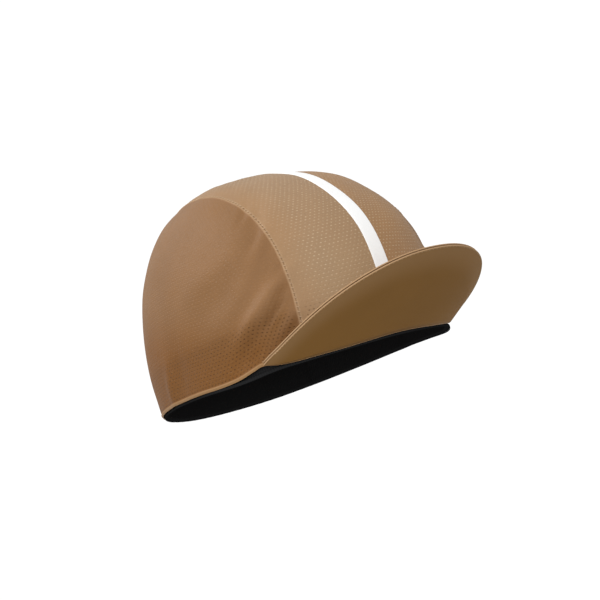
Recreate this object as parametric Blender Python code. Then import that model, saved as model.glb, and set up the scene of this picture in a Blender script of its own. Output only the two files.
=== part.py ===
"""Cycling cap: a soft crown of three cloth panels with a tape down its middle, a peak of two
covers that stands up at the front, and a sweatband with an elastic length at the back.
Metres, +Z up. The origin is the middle of the head opening, the peak points towards -Y and the
wearer's right is -X. Turn is the angle in plan from the front towards the wearer's right, and
rise runs over the crown's surface from 0 at its lower edge to 1 at its top."""

import math

import bmesh
import bpy
from mathutils import Vector

# Crown
FRONT_REACH = 0.0969  # from the line where the crown is widest to its front
BACK_REACH = 0.0980  # from the same line to its back
SIDE_REACH = 0.0811
CROWN_HEIGHT = 0.1200
WIDEST_FORWARD = 0.0019  # from the origin forward to the line where the crown is widest
PLAN_FULLNESS = 2.07  # of its outline in plan: 2 is an ellipse, more is squarer
WALL = 0.0012  # knitted cloth
GAP = 0.0003  # between pieces that are sewn or laid together

# Centre panel, tape and seams
CENTRE_HALF_WIDTH = 0.0460
TAPE_WIDTH = 0.0082
TAPE_WALL = 0.0010
SEAM_SINK = 0.0007  # how far the seams pull the cloth in
SEAM_PULL = 0.0100  # how far to each side of a seam that reaches
SEAM_START = 1 / 6  # the rise from which it has its full depth

# Lower edge, and the folds of the side panels
EDGE_LIFT = 0.0030  # what the lower edge rises by at the peak's corners
EDGE_REACH = 1 / 3  # the rise at which the waves of that edge have died out
FOLD_HEIGHT = 0.0015
SURFACE_RISE = 1.35  # from edge to top over the surface, in crown heights

# Peak
PEAK_LENGTH = 0.0546
PEAK_TURN = math.radians(49.7)  # plan angle of its corners
PEAK_TILT = math.radians(32.2)  # it stands up by this at its middle
PEAK_SIDE_TILT = math.radians(30.7)  # and by this at its corners
PEAK_FAN = 0.41  # how far its sides spread: 0 is straight on, more is wider
PEAK_FULLNESS = 2.43  # of the free edge: 2 is a round one, more is squarer
COVER_WALL = 0.0010

# Sweatband
BAND_HEIGHT = 0.0245
BAND_WALL = 0.0015
BAND_GAP = 0.0008
ELASTIC_TURN = math.radians(140.0)  # plan angle of the join between the band and the elastic

# Half sections of the crown: height as a share of CROWN_HEIGHT, and the reaches as shares of
# FRONT_REACH, SIDE_REACH and BACK_REACH, at equal steps of rise.
SECTIONS = (
    # height, front, side, back
    (0.000, 0.965, 1.020, 0.997),
    (0.181, 0.996, 1.026, 1.000),
    (0.357, 1.000, 1.000, 0.998),
    (0.530, 0.944, 0.953, 0.954),
    (0.695, 0.805, 0.864, 0.848),
    (0.843, 0.590, 0.725, 0.673),
    (0.943, 0.334, 0.513, 0.441),
    (0.989, 0.110, 0.260, 0.193),
    (1.000, 0.000, 0.000, 0.000),
)

# Half width of the centre panel, as a share of CENTRE_HALF_WIDTH, at the same steps of rise.
SEAM = (1.035, 1.020, 1.007, 0.991, 0.965, 0.968, 1.000)

# Height of the lower edges over the plane of the opening, as a share of EDGE_LIFT.
EDGES = (
    # turn, crown, band
    (0, -0.20, -0.20),
    (20, -0.38, -0.25),
    (36, -0.15, -0.15),
    (44, 0.25, -0.05),
    (50, 0.95, 0.00),
    (54, 0.60, 0.05),
    (60, 0.05, 0.10),
    (67, -0.05, 0.20),
    (78, 0.25, 0.30),
    (94, 0.45, 0.45),
    (118, 0.25, 0.25),
    (140, -0.15, -0.15),
    (160, -0.50, -0.50),
    (180, -0.60, -0.60),
)

# Folds of each side panel: where they lie, their half length and half width as shares of
# SIDE_REACH, their slope down towards the back, and their height as a share of FOLD_HEIGHT.
FOLDS = (
    # turn, rise, length, width, slope, height
    (48.0, 0.186, 0.240, 0.075, 32.0, 0.75),  # ridge from the seam down and back
    (39.0, 0.137, 0.150, 0.070, 33.0, 0.50),  # shorter ridge below it
    (53.0, 0.060, 0.140, 0.100, 15.0, -0.80),  # hollow over the peak's corner
    (76.0, 0.108, 0.320, 0.130, -5.0, -0.65),  # hollow along the side
    (39.0, 0.450, 0.160, 0.080, 60.0, -0.45),  # tucks along the seam
    (41.0, 0.287, 0.150, 0.080, 45.0, -0.45),
)


def between(low, high, share):
    return low + (high - low) * share


def smooth(share):
    share = min(max(share, 0.0), 1.0)
    return share * share * (3 - 2 * share)


def through(values, place):
    """A smooth curve through evenly spaced values, at a place counted in steps."""
    step = min(max(int(place), 0), len(values) - 2)
    t = place - step
    b, c = values[step], values[step + 1]
    a = values[step - 1] if step else 2 * b - c
    d = values[step + 2] if step + 2 < len(values) else 2 * c - b
    bend = 2 * a - 5 * b + 4 * c - d
    twist = 3 * b - a - 3 * c + d
    return b + ((c - a) * t + bend * t**2 + twist * t**3) / 2


HEIGHTS, FRONTS, SIDES, BACKS = (list(column) for column in zip(*SECTIONS))
# Past the top a half section comes down on the other side, so the top is round.
HEIGHTS.append(HEIGHTS[-2])
for reaches in (FRONTS, SIDES, BACKS):
    reaches.append(-reaches[-2])
STEPS = len(SECTIONS) - 1
ALONG_SKIN = 0.002  # a small step of turn or rise, to measure slopes by


def fuller(share):
    """A sine or cosine of the turn, for a plan outline squarer than an ellipse."""
    return math.copysign(abs(share) ** (2 / PLAN_FULLNESS), share)


def side_reach(rise):
    return SIDE_REACH * through(SIDES, rise * STEPS)


def rise_at(height):
    """The rise at which the plain crown has this height."""
    low, high = 0.0, 1.0
    for _ in range(30):
        middle = (low + high) / 2
        if CROWN_HEIGHT * through(HEIGHTS, middle * STEPS) < height:
            low = middle
        else:
            high = middle
    return low


def edge_height(turn, column):
    """Height of a lower edge, the crown's (column 1) or the band's (2), over the opening's plane."""
    turn = abs(math.degrees(math.remainder(turn, 2 * math.pi)))
    row = max(i for i in range(len(EDGES) - 1) if EDGES[i][0] <= turn)

    def slope(i):
        low, high = EDGES[max(i - 1, 0)], EDGES[min(i + 1, len(EDGES) - 1)]
        flat = i in (0, len(EDGES) - 1)
        return 0.0 if flat else (high[column] - low[column]) / (high[0] - low[0])

    start, end = EDGES[row], EDGES[row + 1]
    span = end[0] - start[0]
    t = (turn - start[0]) / span
    rise = start[column] + (end[column] - start[column]) * t * t * (3 - 2 * t)
    bend = slope(row) * t * (1 - t) ** 2 - slope(row + 1) * t * t * (1 - t)
    return EDGE_LIFT * (rise + bend * span)


def plain_point(turn, rise):
    """The crown before its folds and seams."""
    place = rise * STEPS
    forward = math.cos(turn)
    if forward > 0:
        reach = FRONT_REACH * through(FRONTS, place)
    else:
        reach = BACK_REACH * through(BACKS, place)
    lower = 1 - smooth(rise / EDGE_REACH)
    return Vector((
        -side_reach(rise) * fuller(math.sin(turn)),
        -WIDEST_FORWARD - reach * fuller(forward),
        CROWN_HEIGHT * through(HEIGHTS, place) + lower * edge_height(turn, 1),
    ))


def outward(turn, rise):
    """Unit vector out of the plain crown's surface."""
    if rise > 1 - 2 * ALONG_SKIN:
        return Vector((0, 0, 1))
    step = ALONG_SKIN
    round_it = plain_point(turn + step, rise) - plain_point(turn - step, rise)
    up_it = plain_point(turn, rise + step) - plain_point(turn, max(rise - step, -step))
    return up_it.cross(round_it).normalized()


def half_width(rise):
    """From the middle to the seam, at this rise."""
    return CENTRE_HALF_WIDTH * through(SEAM, min(rise * STEPS, len(SEAM) - 1))


def fold_lift(turn, rise):
    """How far folds and seams lift the cloth out of the plain crown."""
    turn = abs(math.remainder(turn, 2 * math.pi))
    row_height = CROWN_HEIGHT * SURFACE_RISE
    lift = 0.0
    for fold_turn, fold_rise, length, width, slope, height in FOLDS:
        back = (turn - math.radians(fold_turn)) * SIDE_REACH
        down = (fold_rise - rise) * row_height
        slope = math.radians(slope)
        lengthways = (back * math.cos(slope) + down * math.sin(slope)) / (length * SIDE_REACH)
        across = (down * math.cos(slope) - back * math.sin(slope)) / (width * SIDE_REACH)
        lift += height * FOLD_HEIGHT * math.exp(-(lengthways**2) - across**2)
    aside = side_reach(rise) * fuller(math.sin(turn)) - half_width(rise)
    return lift - SEAM_SINK * math.exp(-((aside / SEAM_PULL) ** 2)) * smooth(rise / SEAM_START)


def skin(turn, rise, lift=0.0):
    """A point of the crown's cloth, lifted out of its outer surface by this much."""
    return plain_point(turn, rise) + outward(turn, rise) * (fold_lift(turn, rise) + lift)


def evenly(route, count):
    """count + 1 places of (turn, rise) at even distances along a route of such places."""
    points = [plain_point(turn, rise) for turn, rise in route]
    travelled = [0.0]
    for start, end in zip(points, points[1:]):
        travelled.append(travelled[-1] + (end - start).length)
    places = []
    step = 0
    for i in range(count + 1):
        target = travelled[-1] * i / count
        while step < len(route) - 2 and travelled[step + 1] < target:
            step += 1
        share = (target - travelled[step]) / max(travelled[step + 1] - travelled[step], 1e-9)
        places.append(tuple(between(a, b, share) for a, b in zip(route[step], route[step + 1])))
    return places


def fore_and_aft(aside, front_rise=0.0, back_rise=0.0):
    """The route over the crown from front to back that keeps aside(rise) from the middle."""
    top = 1.0
    if abs(aside(1.0)) > 1e-6:
        low, high = 0.3, 1.0
        for _ in range(40):
            top = (low + high) / 2
            if side_reach(top) > abs(aside(top)):
                low = top
            else:
                high = top
    samples = 150
    shares = [math.sin(math.pi / 2 * i / samples) for i in range(samples + 1)]

    def turn_at(rise):
        share = min(abs(aside(rise)) / max(side_reach(rise), 1e-6), 1.0)
        return math.copysign(math.asin(share ** (PLAN_FULLNESS / 2)), aside(rise))

    front = [between(front_rise, top, share) for share in shares]
    back = [between(back_rise, top, share) for share in reversed(shares)]
    route = [(turn_at(rise), rise) for rise in front]
    half_turn = math.pi if aside(0.0) >= 0 else -math.pi
    return route + [(half_turn - turn_at(rise), rise) for rise in back[1:]]


def material(name, colour, roughness):
    made = bpy.data.materials.new(name)
    made.use_nodes = True
    shader = made.node_tree.nodes["Principled BSDF"]
    shader.inputs["Base Color"].default_value = (*colour, 1)
    shader.inputs["Roughness"].default_value = roughness
    shader.inputs["Metallic"].default_value = 0
    return made


def cloth(name, columns, rows, place, finish):
    """A closed wall: a grid laid at place(column, row, 0), backed by one at place(column, row, 1)."""
    mesh = bmesh.new()
    bmesh.ops.create_grid(mesh, x_segments=columns, y_segments=rows, size=0.5)
    column_of = mesh.verts.layers.float.new("column")
    row_of = mesh.verts.layers.float.new("row")
    for vertex in mesh.verts:
        vertex[column_of] = round((vertex.co.x + 0.5) * columns)
        vertex[row_of] = round((vertex.co.y + 0.5) * rows)
    face_side = set(mesh.verts)
    bmesh.ops.extrude_face_region(mesh, geom=mesh.faces[:], use_keep_orig=True)
    for vertex in mesh.verts:
        back = 0 if vertex in face_side else 1
        vertex.co = place(round(vertex[column_of]), round(vertex[row_of]), back)
    bmesh.ops.remove_doubles(mesh, verts=mesh.verts, dist=1e-5)
    bmesh.ops.recalc_face_normals(mesh, faces=mesh.faces)
    data = bpy.data.meshes.new(name)
    mesh.to_mesh(data)
    mesh.free()
    data.shade_smooth()
    data.set_sharp_from_angle(angle=math.radians(50))
    data.materials.append(finish)
    made = bpy.data.objects.new(name, data)
    bpy.context.scene.collection.objects.link(made)
    return made


def centre_panel(finish):
    """From the peak over the top to the back edge, between the two seams."""
    across, along = 10, 44
    routes = []
    for i in range(across + 1):
        share = between(-1, 1, i / across)
        route = fore_and_aft(lambda rise: share * (half_width(rise) - GAP / 2))
        routes.append(evenly(route, along))

    def place(column, row, back):
        return skin(*routes[column][row], -WALL * back)

    return cloth("centre_panel", across, along, place, finish)


def side_panel(name, hand, finish):
    """Between a seam and the lower edge, on the wearer's right (1) or left (-1)."""
    along, up = 30, 14
    seam = evenly(fore_and_aft(lambda rise: half_width(rise) + GAP / 2), along)
    front, back_end = seam[0][0], seam[-1][0]
    edge = evenly([(between(front, back_end, i / 200), 0.0) for i in range(201)], along)

    def place(column, row, back):
        turn, rise = (between(low, high, row / up) for low, high in zip(edge[column], seam[column]))
        point = skin(turn, rise, -WALL * back)
        point.x *= hand
        return point

    return cloth(name, along, up, place, finish)


def centre_tape(finish):
    """Laid on the centre panel from just above the peak to the back edge."""
    across, along = 2, 44
    peak_top = (2 * COVER_WALL + GAP) / math.cos(PEAK_TILT)
    front_rise = rise_at(peak_top + 2 * (TAPE_WALL + GAP))
    routes = []
    for i in range(across + 1):
        aside = TAPE_WIDTH * (i / across - 0.5)
        routes.append(evenly(fore_and_aft(lambda rise: aside, front_rise, 0.0), along))

    def place(column, row, back):
        return skin(*routes[column][row], GAP + TAPE_WALL * (1 - back))

    return cloth("centre_tape", across, along, place, finish)


def peak_point(across, out, height):
    """A point of the peak: across from -1 to 1 at its corners, out from 0 at the crown to 1 at
    its free edge, and height over its underside."""
    turn = across * PEAK_TURN
    root = skin(turn, 0.0, GAP)
    up_the_crown = (skin(turn, 10 * ALONG_SKIN, GAP) - root).normalized()
    reach = PEAK_LENGTH * (1 - abs(across) ** PEAK_FULLNESS)
    tilt = between(PEAK_TILT, PEAK_SIDE_TILT, smooth(abs(across)))
    aside = PEAK_FAN * (root.x / SIDE_REACH)
    forward = Vector((aside * math.cos(tilt), -math.cos(tilt), math.sin(tilt))).normalized()
    level = Vector((1, aside, 0)).normalized()
    upright = level.cross(forward)
    if upright.z < 0:
        upright.negate()
    sheared = up_the_crown / up_the_crown.dot(upright)
    return root + forward * reach * out + sheared.lerp(upright, min(out * 3, 1)) * height


def peak_cover(name, low, finish):
    """One of the peak's two covers, its lower face this far over the underside."""
    across, out = 26, 6

    def place(column, row, back):
        share = math.sin(math.pi / 2 * between(-1, 1, column / across))
        return peak_point(share, row / out, low + COVER_WALL * (1 - back))

    return cloth(name, across, out, place, finish)


def band(name, start, end, columns, finish):
    """A length of the sweatband, inside the crown, from one plan angle to another."""
    rows = 4
    end_gap = GAP / 2 / SIDE_REACH
    depth = WALL + BAND_GAP

    def place(column, row, back):
        turn = between(start + end_gap, end - end_gap, column / columns)
        rise = rise_at(BAND_HEIGHT * row / rows)
        point = skin(turn, rise, -depth - BAND_WALL * back)
        point.z += (1 - smooth(rise / EDGE_REACH)) * (edge_height(turn, 2) - edge_height(turn, 1))
        return point

    return cloth(name, columns, rows, place, finish)


def main():
    for old in list(bpy.data.objects):
        bpy.data.objects.remove(old, do_unlink=True)
    mesh_cloth = material("centre_cloth", (0.400, 0.263, 0.147), 0.85)
    side_cloth = material("side_cloth", (0.332, 0.202, 0.102), 0.85)
    peak_cloth = material("peak_cloth", (0.218, 0.130, 0.055), 0.75)
    tape_cloth = material("tape_cloth", (0.90, 0.90, 0.89), 0.55)
    band_cloth = material("band_cloth", (0.012, 0.012, 0.014), 0.70)
    centre_panel(mesh_cloth)
    side_panel("side_panel_right", 1, side_cloth)
    side_panel("side_panel_left", -1, side_cloth)
    centre_tape(tape_cloth)
    peak_cover("peak_under_cover", 0.0, peak_cloth)
    peak_cover("peak_top_cover", COVER_WALL + GAP, side_cloth)
    band("sweatband", -ELASTIC_TURN, ELASTIC_TURN, 48, band_cloth)
    band("rear_elastic", ELASTIC_TURN, 2 * math.pi - ELASTIC_TURN, 14, band_cloth)


if __name__ == "__main__":
    main()
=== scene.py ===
"""Looks of a cycling cap: knitted crown panels with their folds and seams, a white tape, a peak of
two covers, stitches, a sweatband with an elastic back, and a pale studio. Metres, +Z up, with the
peak towards -Y and the wearer's right towards -X. Turn is the angle in plan from the front towards
the wearer's right, and rise runs over the crown's surface from 0 at its lower edge to 1 at its top."""

import math

import bmesh
import bpy
import numpy as np
from bpy.props import FloatProperty, FloatVectorProperty, PointerProperty
from mathutils import Matrix, Vector


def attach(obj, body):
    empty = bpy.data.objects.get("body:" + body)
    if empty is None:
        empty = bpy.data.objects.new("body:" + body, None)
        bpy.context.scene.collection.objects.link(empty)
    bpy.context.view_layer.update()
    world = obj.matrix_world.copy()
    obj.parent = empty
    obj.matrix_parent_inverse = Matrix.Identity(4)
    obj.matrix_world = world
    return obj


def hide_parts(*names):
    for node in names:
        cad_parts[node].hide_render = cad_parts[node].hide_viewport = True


bl_info = {
    "name": "Cycling Cap",
    "version": (1, 0, 0),
    "blender": (4, 5, 0),
    "location": "3D View > Sidebar > Cap",
    "description": "Builds a knitted cycling cap and a pale studio around it",
    "category": "Object",
}

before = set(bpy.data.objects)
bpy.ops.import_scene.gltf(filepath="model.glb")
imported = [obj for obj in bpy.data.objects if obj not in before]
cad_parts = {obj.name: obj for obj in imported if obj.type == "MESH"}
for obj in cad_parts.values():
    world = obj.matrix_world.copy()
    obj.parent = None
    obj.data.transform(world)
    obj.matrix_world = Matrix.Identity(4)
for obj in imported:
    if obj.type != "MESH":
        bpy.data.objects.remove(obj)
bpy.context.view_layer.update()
MM = 0.001
TO_MM = 1000

# Half sections of the crown: height as a share of its full height, and the reaches as shares of the
# full front, side and back reach, at equal steps of rise.
SECTIONS = (
    # height, front, side, back
    (0.000, 0.965, 1.020, 0.997),
    (0.181, 0.996, 1.026, 1.000),
    (0.357, 1.000, 1.000, 0.998),
    (0.530, 0.944, 0.953, 0.954),
    (0.695, 0.805, 0.864, 0.848),
    (0.843, 0.590, 0.725, 0.673),
    (0.943, 0.334, 0.513, 0.441),
    (0.989, 0.110, 0.260, 0.193),
    (1.000, 0.000, 0.000, 0.000),
)
STEPS = len(SECTIONS) - 1

# Half width of the centre panel, as a share of its full half width, at the same steps of rise.
SEAM = (1.035, 1.020, 1.007, 0.991, 0.965, 0.968, 1.000)

# Height of the lower edges over the plane of the opening, as a share of the edge lift.
EDGES = (
    # turn, crown, band
    (0, -0.20, -0.20),
    (20, -0.38, -0.25),
    (36, -0.15, -0.15),
    (44, 0.25, -0.05),
    (50, 0.95, -0.15),
    (54, 0.60, -0.28),
    (60, 0.05, -0.32),
    (67, -0.05, -0.15),
    (78, 0.25, 0.20),
    (94, 0.45, 0.45),
    (118, 0.25, 0.25),
    (140, -0.15, -0.15),
    (160, -0.50, -0.50),
    (180, -0.60, -0.60),
)
CROWN_EDGE, BAND_EDGE = 1, 2

# Folds of each side panel: where they lie, half length and half width, slope down towards the
# back, and height, in degrees and millimetres. The longest are the crown's main folds.
FOLDS = (
    # turn, rise, length, width, slope, height
    (47.5, 0.156, 20.0, 4.2, 43.5, 2.80),  # the long ridge that starts at the seam
    (38.5, 0.110, 9.5, 3.6, 39.0, 1.80),  # the short ridge before it
    (41.5, 0.140, 11.0, 2.6, 45.0, -1.70),  # crease between the two
    (47.0, 0.222, 16.0, 4.6, 43.0, -1.20),  # sag over the long ridge
    (54.5, 0.058, 10.5, 5.6, 22.0, -2.50),  # deep hollow over the peak's corner
    (76.0, 0.108, 26.0, 9.5, -5.0, -1.25),
    (93.0, 0.060, 12.0, 3.8, 80.0, 1.60),  # upright ridge over the hem
    (86.0, 0.070, 14.0, 4.4, 78.0, -1.20),  # hollow beside it
    (39.0, 0.450, 14.0, 4.6, 55.0, -1.25),  # tucks that start at the seam
    (41.0, 0.292, 13.0, 3.6, 44.0, -1.20),
    (36.0, 0.275, 7.0, 2.4, 38.0, -0.85),
    (38.5, 0.345, 10.0, 2.4, 46.0, -1.00),
    (41.5, 0.395, 10.0, 2.3, 49.0, -0.75),
    (41.0, 0.504, 9.0, 2.4, 52.0, -0.90),
    (37.0, 0.205, 6.0, 2.2, 30.0, -0.60),
    (60.0, 0.250, 24.0, 7.0, 30.0, -0.95),  # long shallow sag beside the ridge
    (64.0, 0.330, 20.0, 6.0, 24.0, 0.65),
    (118.0, 0.380, 30.0, 30.0, 0.0, -0.70),  # flatter cloth at the side's back
    (150.0, 0.220, 22.0, 7.0, -28.0, 0.55),  # fullness over the elastic back
    (163.0, 0.120, 18.0, 4.5, -60.0, 0.45),
    (138.0, 0.110, 20.0, 6.0, -18.0, -0.60),
)


# How finely the pieces are divided.
CENTRE_ROWS, SIDE_COLUMNS, TAPE_ROWS = 260, 250, 220
PEAK_COLUMNS, PEAK_ROWS, PEAK_ARC = 181, 20, 9
BROW_COLUMNS, ELASTIC_COLUMNS = 260, 220
CENTRE_SPACING, SIDE_SPACING, BAND_SPACING = 1.9 * MM, 1.8 * MM, 1.6 * MM
SEARCH_STEPS, ROUTE_STEPS, EDGE_STEPS = 2000, 300, 1000

# Distances from the end of a grid at which its fine rows or columns lie.
BAND_ROWS = np.array((0.0, 0.3, 0.6, 0.9, 1.2, 1.6, 2.2, 3.0)) * MM
LAP_STEPS = np.array((0.0, 0.8, 1.4, 1.9, 2.3, 2.7, 3.1, 3.6, 4.4, 5.6)) * MM
FROM_HEM = np.array((0.0, 0.35, 0.75, 1.2, 1.7, 2.2, 2.8, 3.6, 4.8)) * MM
EDGE_ROWS = np.array((0.5, 0.75, 1.0, 1.25, 1.5, 1.75, 2.0, 2.4, 3.0)) * MM

# Stitches over the seams and along the peak's edge.
SEAM_STITCH, SEAM_THREAD, SEAM_LEAN = 1.8 * MM, 0.21 * MM, 1.0
EDGE_STITCH, EDGE_THREAD, EDGE_PITCH = 1.3 * MM, 0.17 * MM, 2.3 * MM

# Pitches in millimetres: the knit's upright and level rows, the tape's ribs, the peak's weave and
# the ribs of the band and of the elastic.
WALE, COURSE, TAPE_RIB, WEAVE, BAND_RIB, ELASTIC_RIB = 0.62, 0.48, 0.7, 0.55, 1.4, 1.0


def smooth(share):
    share = np.clip(share, 0.0, 1.0)
    return share * share * (3 - 2 * share)


def bump_at(distance, width):
    """1 at distance 0, falling away over about the width."""
    return np.exp(-((distance / width) ** 2))


def through(values, place):
    """A smooth curve through evenly spaced values, at places counted in steps."""
    values = np.asarray(values, float)
    padded = np.concatenate(([2 * values[0] - values[1]], values, [2 * values[-1] - values[-2]]))
    step = np.clip(np.floor(place).astype(int), 0, len(values) - 2)
    t = place - step
    a, b, c, d = (padded[step + k] for k in range(4))
    bend = 2 * a - 5 * b + 4 * c - d
    twist = 3 * b - a - 3 * c + d
    return b + ((c - a) * t + bend * t**2 + twist * t**3) / 2


def past_the_top(column, sign):
    """A column of SECTIONS with one more value, as the section comes down on the other side."""
    values = [row[column] for row in SECTIONS]
    return values + [sign * values[-2]]


HEIGHTS = past_the_top(0, 1)
FRONTS, SIDES, BACKS = (past_the_top(column, -1) for column in (1, 2, 3))


def wrapped(turn):
    return np.abs((turn + math.pi) % (2 * math.pi) - math.pi)


def unit(vectors):
    return vectors / np.linalg.norm(vectors, axis=-1, keepdims=True)


def steps_between(points, axis):
    """Lengths travelled over a grid of points along one axis, from its first row."""
    pieces = np.linalg.norm(np.diff(points, axis=axis), axis=-1)
    start = np.zeros_like(np.take(pieces, [0], axis=axis))
    return np.concatenate((start, np.cumsum(pieces, axis=axis)), axis=axis)


def between(table, across, along):
    """Values of a table at places between its rows and columns."""
    i = np.clip(np.floor(across).astype(int), 0, table.shape[0] - 2)
    j = np.clip(np.floor(along).astype(int), 0, table.shape[1] - 2)
    s, t = across - i, along - j
    near = table[i, j] * (1 - t) + table[i, j + 1] * t
    far = table[i + 1, j] * (1 - t) + table[i + 1, j + 1] * t
    return near * (1 - s) + far * s


class Crown:
    """The crown's outer surface, worked out from the sizes in the panel."""

    def __init__(self, sizes):
        self.sizes = sizes

    def fuller(self, share):
        return np.copysign(np.abs(share) ** (2 / self.sizes.plan_fullness), share)

    def side_reach(self, rise):
        return self.sizes.side_reach * through(SIDES, rise * STEPS)

    def half_width(self, rise):
        return self.sizes.centre_half_width * through(SEAM, np.minimum(rise * STEPS, len(SEAM) - 1))

    def rise_at(self, height):
        """The rise at which the plain crown has this height."""
        rises = np.linspace(0, 1, 400)
        return np.interp(height, self.sizes.height * through(HEIGHTS, rises * STEPS), rises)

    def edge_height(self, turn, column):
        """Height of the crown's or the band's lower edge over the plane of the opening."""
        turns, values = (np.array([row[k] for row in EDGES], float) for k in (0, column))
        slopes = np.zeros_like(values)
        slopes[1:-1] = (values[2:] - values[:-2]) / (turns[2:] - turns[:-2])
        degrees = np.degrees(wrapped(turn))
        row = np.clip(np.searchsorted(turns, degrees, side="right") - 1, 0, len(turns) - 2)
        span = turns[row + 1] - turns[row]
        t = (degrees - turns[row]) / span
        rise = values[row] + (values[row + 1] - values[row]) * t * t * (3 - 2 * t)
        bend = slopes[row] * t * (1 - t) ** 2 - slopes[row + 1] * t * t * (1 - t)
        return self.sizes.edge_lift * (rise + bend * span)

    def plain(self, turn, rise):
        """The crown before its folds and seams."""
        place, forward = rise * STEPS, np.cos(turn)
        front = self.sizes.front_reach * through(FRONTS, place)
        back = self.sizes.back_reach * through(BACKS, place)
        lower = 1 - smooth(rise / self.sizes.edge_share)
        x = -self.side_reach(rise) * self.fuller(np.sin(turn))
        y = -self.sizes.widest_forward - np.where(forward > 0, front, back) * self.fuller(forward)
        z = self.sizes.height * through(HEIGHTS, place) + lower * self.edge_height(turn, CROWN_EDGE)
        return np.stack(np.broadcast_arrays(x, y, z), -1)

    def outward(self, turn, rise):
        """Unit vectors out of the plain surface."""
        step = 0.002
        near_top = np.minimum(rise, 1 - 2 * step)
        around = self.plain(turn + step, near_top) - self.plain(turn - step, near_top)
        upward = self.plain(turn, near_top + step) - self.plain(turn, near_top - step)
        out = unit(np.cross(upward, around))
        top = smooth((rise - (1 - 6 * step)) / (4 * step))[..., None]
        return unit(out * (1 - top) + np.array([0.0, 0.0, 1.0]) * top)

    def lowest_climb(self):
        """Way over the surface for each unit of rise, near the lower edge."""
        return self.sizes.height * (HEIGHTS[1] - HEIGHTS[0]) * STEPS

    def from_edge(self, rise):
        """Way over the surface up from the lower edge, for places near it."""
        return rise * self.lowest_climb()

    def from_seam(self, turn, rise, out):
        """Way over the surface from the seam: more than 0 on a side panel."""
        aside = self.side_reach(rise) * self.fuller(np.abs(np.sin(turn))) - self.half_width(rise)
        return aside / np.sqrt(np.maximum(1 - out[..., 0] ** 2, 0.04))

    def folds(self, turn, rise):
        """Height of the folds, which are shallower on the wearer's left."""
        share = 1 - (1 - self.sizes.left_folds) * smooth(-np.sin(turn) / 0.2)
        turn = wrapped(turn)
        lift = 0.0
        for fold_turn, fold_rise, length, width, slope, height in FOLDS:
            back = (turn - math.radians(fold_turn)) * self.sizes.side_reach
            down = (fold_rise - rise) * self.sizes.height * self.sizes.surface_share
            slope = math.radians(slope)
            lengthways = back * math.cos(slope) + down * math.sin(slope)
            across = down * math.cos(slope) - back * math.sin(slope)
            lift = lift + height * MM * bump_at(lengthways, length * MM) * bump_at(across, width * MM)
        return lift * share

    def ripples(self, turn, rise):
        """Slight waves of slack cloth, everywhere."""
        waves = np.sin(7 * turn + 11 * rise + 0.6) * np.sin(15 * rise - 2.2 * turn)
        small = np.sin(17 * turn - 9 * rise) * np.sin(31 * rise + 5 * turn + 1.1)
        return self.sizes.ripple * (waves + 0.5 * small) * smooth(rise * 5)

    def cloth_place(self, turn, rise):
        """Ways over the plain crown, from the middle of the side and up from the lower edge."""
        turns, rises = np.linspace(0, math.pi, 361), np.linspace(0, 0.98, 197)
        points = self.plain(turns[:, None], rises[None, :])
        around = steps_between(points, 0)
        places = (turn / (turns[1] - turns[0]), rise / (rises[1] - rises[0]))
        return between(around - around[180], *places), between(steps_between(points, 1), *places)

    def seam_relief(self, way, rise):
        """The seam draws both panels in, and the side panel's folded edge stands up beside it. The
        centre panel's edge goes under that one."""
        sizes = self.sizes
        pull = -sizes.seam_sink * bump_at(way, sizes.seam_pull) * smooth(rise * 6)
        ridge = sizes.seam_ridge * bump_at(way - 0.7 * MM, 0.8 * MM) * (way > -1 * MM)
        return pull + ridge

    def under_seam(self, way):
        """How deep the centre panel's edge lies under the side panel's."""
        clear, slope = 0.06 * MM, 0.45 * MM
        return (self.sizes.wall + clear) * smooth((way + slope) / slope)

    def hem_relief(self, way):
        """The turned-up hem stands out a little, and its edge rolls in."""
        sizes = self.sizes
        raised = sizes.hem_lift * (1 - smooth((way - sizes.hem_height) / (0.7 * MM) + 0.5))
        crease = -0.5 * sizes.hem_lift * bump_at(way - sizes.hem_height - 0.6 * MM, 0.5 * MM)
        return raised + crease - 0.5 * MM * bump_at(way, 0.7 * MM)

    def skin(self, turn, rise, lift=0.0, detail=1.0, lower=0.0):
        """Points of the cloth, lifted out of its outer surface by this much. Lower is how far in
        rise the point will be moved down, which is where its folds are looked up."""
        out = self.outward(turn, rise)
        way = self.from_seam(turn, rise, out)
        relief = self.folds(turn, rise - lower) + self.ripples(turn, rise)
        fine = self.seam_relief(way, rise) + self.hem_relief(self.from_edge(rise))
        return self.plain(turn, rise) + out * (relief + detail * fine + lift)[..., None]

    def fore_and_aft(self, aside, count, front_rise=0.0, back_rise=0.0):
        """(turn, rise) at even distances over the crown from front to back, aside(rise) from the
        middle."""
        rises = np.linspace(0.3, 1, SEARCH_STEPS)
        over = np.nonzero(self.side_reach(rises) > np.abs(aside(rises)))[0]
        top = rises[over[-1]] if len(over) else 1.0
        shares = np.sin(np.linspace(0, math.pi / 2, ROUTE_STEPS))
        front = front_rise + (top - front_rise) * shares
        back = (back_rise + (top - back_rise) * shares)[::-1]

        def turn_at(rise):
            share = np.minimum(np.abs(aside(rise)) / np.maximum(self.side_reach(rise), 1e-6), 1.0)
            return np.copysign(np.arcsin(share ** (self.sizes.plan_fullness / 2)), aside(rise))

        half_turn = math.copysign(math.pi, float(aside(np.array(0.5))) or 1.0)
        turn = np.concatenate((turn_at(front), half_turn - turn_at(back)[1:]))
        rise = np.concatenate((front, back[1:]))
        travelled = steps_between(self.plain(turn, rise), 0)
        even = np.linspace(0, travelled[-1], count)
        return np.interp(even, travelled, turn), np.interp(even, travelled, rise)


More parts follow.
